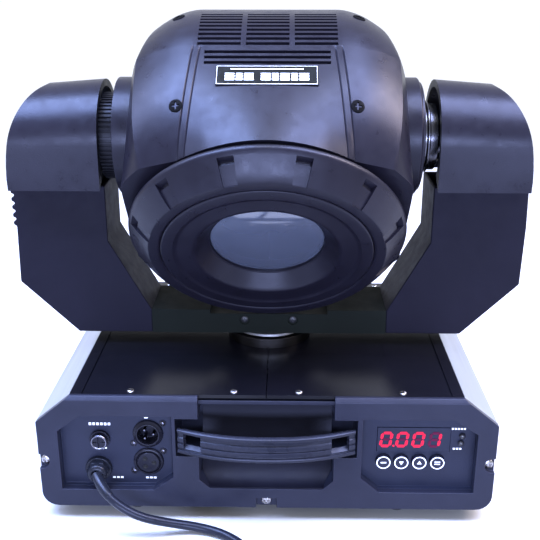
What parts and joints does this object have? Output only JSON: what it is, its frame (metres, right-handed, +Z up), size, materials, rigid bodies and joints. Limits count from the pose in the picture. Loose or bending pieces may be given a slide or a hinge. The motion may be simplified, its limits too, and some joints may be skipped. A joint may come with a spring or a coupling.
{
  "type": "moving head light",
  "caption": "Moving head stage light: a base with connectors, display and handles carries a panning yoke and a tilting head with a notched bezel and round front lens.",
  "frame": {"origin": "centre of the footprint, on the surface under the rubber feet, on the pan axis", "axes": "+Z up along the pan axis, +X to the right seen from the front, -Y towards the front panel with the connectors and display"},
  "size_m": [0.439, 0.5267, 0.4],
  "materials": {
    "charcoal_moulding": "satin charcoal with fine grain",
    "black_sheet": "semi-gloss black powder coat",
    "rail_aluminium": "pale silver-blue satin",
    "tray_steel": "matt black",
    "foot_rubber": "matt",
    "connector_shell": "black",
    "fuse_black": "gloss",
    "gland_nylon": "matt",
    "cord_jacket": "satin PVC",
    "display_red": "dark red filter window",
    "button_black": "gloss with a pale ring",
    "handle_black": "satin",
    "bearing_steel": "turned",
    "core_iron": "laminated",
    "supply_case": "brushed",
    "drive_alloy": "machined",
    "belt_rubber": "matt",
    "motor_case": "black",
    "chrome_collar": "bright",
    "lens_glass": "coated optical glass",
    "lamp_quartz": "quartz",
    "reflector_bright": "polished",
    "frame_plate": "plain",
    "wheel_dichroic": "anodised",
    "focus_mount": "black anodised",
    "label_black": "gloss",
    "screw_black": "black zinc"
  },
  "bodies": {
    "base": {"base_tray": "tray_steel", "connector_plate": "charcoal_moulding", "control_plate": "charcoal_moulding", "rubber_feet": "foot_rubber", "fuse_holder": "fuse_black", "cable_gland": "gland_nylon", "display_module": "display_red", "ballast": "core_iron", "power_supply": "supply_case", "pan_bridge": "tray_steel", "pan_bearing": "bearing_steel", "pan_motor": "motor_case", "pan_belt": "belt_rubber", "base_screws": "screw_black", "mains_cord": "cord_jacket", "cord_coil": "cord_jacket", "mains_plug": "cord_jacket", "side_rail_left": "rail_aluminium", "side_rail_right": "rail_aluminium", "top_cover_left": "black_sheet", "top_cover_right": "black_sheet", "front_panel": "charcoal_moulding", "rear_panel": "charcoal_moulding", "front_handle": "handle_black", "rear_handle": "handle_black", "xlr_male": "connector_shell", "xlr_female": "connector_shell"},
    "yoke": {"yoke_crossbar": "charcoal_moulding", "arm_cover_left": "charcoal_moulding", "arm_cover_right": "charcoal_moulding", "drum_cap_left": "charcoal_moulding", "drum_cap_right": "charcoal_moulding", "tilt_bearings": "bearing_steel", "tilt_motor": "motor_case", "tilt_belt": "belt_rubber", "pan_shaft": "drive_alloy", "yoke_screws": "screw_black"},
    "head": {"head_top_cover": "charcoal_moulding", "head_bottom_cover": "charcoal_moulding", "tilt_pulley": "drive_alloy", "trunnion_left": "motor_case", "trunnion_right": "chrome_collar", "bezel_ring": "charcoal_moulding", "lens_retainer": "charcoal_moulding", "front_lens": "lens_glass", "lamp": "lamp_quartz", "reflector": "reflector_bright", "optics_frame": "frame_plate", "label_plate": "label_black", "head_screws": "screw_black"},
    "fuse_cap": {"fuse_cap": "fuse_black"},
    "pan_motor_pulley": {"pan_motor_pulley": "drive_alloy"},
    "tilt_motor_pulley": {"tilt_motor_pulley": "drive_alloy"},
    "colour_wheel": {"colour_wheel": "wheel_dichroic"},
    "gobo_wheel": {"gobo_wheel": "wheel_dichroic"},
    "focus_lens": {"focus_lens": "focus_mount"},
    "menu_button_1": {"menu_button_1": "button_black"},
    "menu_button_2": {"menu_button_2": "button_black"},
    "menu_button_3": {"menu_button_3": "button_black"},
    "menu_button_4": {"menu_button_4": "button_black"}
  },
  "joints": [
    {"name": "pan", "type": "hinge", "parent": "base", "child": "yoke", "pos_m": [0, 0, 0.1125], "axis": [0, 0, 1], "range_deg": [-270, 270]},
    {"name": "tilt", "type": "hinge", "parent": "yoke", "child": "head", "pos_m": [0, 0, 0.296], "axis": [1, 0, 0], "range_deg": [-264, 6]},
    {"name": "fuse_cap_turn", "type": "hinge", "parent": "base", "child": "fuse_cap", "pos_m": [-0.136, -0.125, 0.07], "axis": [0, 1, 0], "range_deg": [0, 90]},
    {"name": "pan_motor_spin", "type": "hinge", "parent": "base", "child": "pan_motor_pulley", "pos_m": [0, 0.066, 0.084], "axis": [0, 0, 1], "range_deg": [-1100, 1100]},
    {"name": "tilt_motor_spin", "type": "hinge", "parent": "yoke", "child": "tilt_motor_pulley", "pos_m": [-0.149, 0, 0.2], "axis": [1, 0, 0], "range_deg": [-810, 30]},
    {"name": "colour_wheel_spin", "type": "hinge", "parent": "head", "child": "colour_wheel", "pos_m": [0.04, -0.018, 0.28168], "axis": [0, -0.7826, -0.6225], "continuous": true},
    {"name": "gobo_wheel_spin", "type": "hinge", "parent": "head", "child": "gobo_wheel", "pos_m": [-0.04, -0.02583, 0.27546], "axis": [0, -0.7826, -0.6225], "continuous": true},
    {"name": "focus_slide", "type": "slide", "parent": "head", "child": "focus_lens", "axis": [0, -0.7826, -0.6225], "range_m": [-0.01, 0.01]},
    {"name": "button_1_press", "type": "slide", "parent": "base", "child": "menu_button_1", "axis": [0, 1, 0], "range_m": [0, 0.0022], "stiffness_N_per_m": 400, "springref_m": -0.001},
    {"name": "button_2_press", "type": "slide", "parent": "base", "child": "menu_button_2", "axis": [0, 1, 0], "range_m": [0, 0.0022], "stiffness_N_per_m": 400, "springref_m": -0.001},
    {"name": "button_3_press", "type": "slide", "parent": "base", "child": "menu_button_3", "axis": [0, 1, 0], "range_m": [0, 0.0022], "stiffness_N_per_m": 400, "springref_m": -0.001},
    {"name": "button_4_press", "type": "slide", "parent": "base", "child": "menu_button_4", "axis": [0, 1, 0], "range_m": [0, 0.0022], "stiffness_N_per_m": 400, "springref_m": -0.001}
  ],
  "couplings": [
    {"joint": "pan_motor_spin", "follows": "pan", "ratio": 4},
    {"joint": "tilt_motor_spin", "follows": "tilt", "ratio": 3}
  ]
}
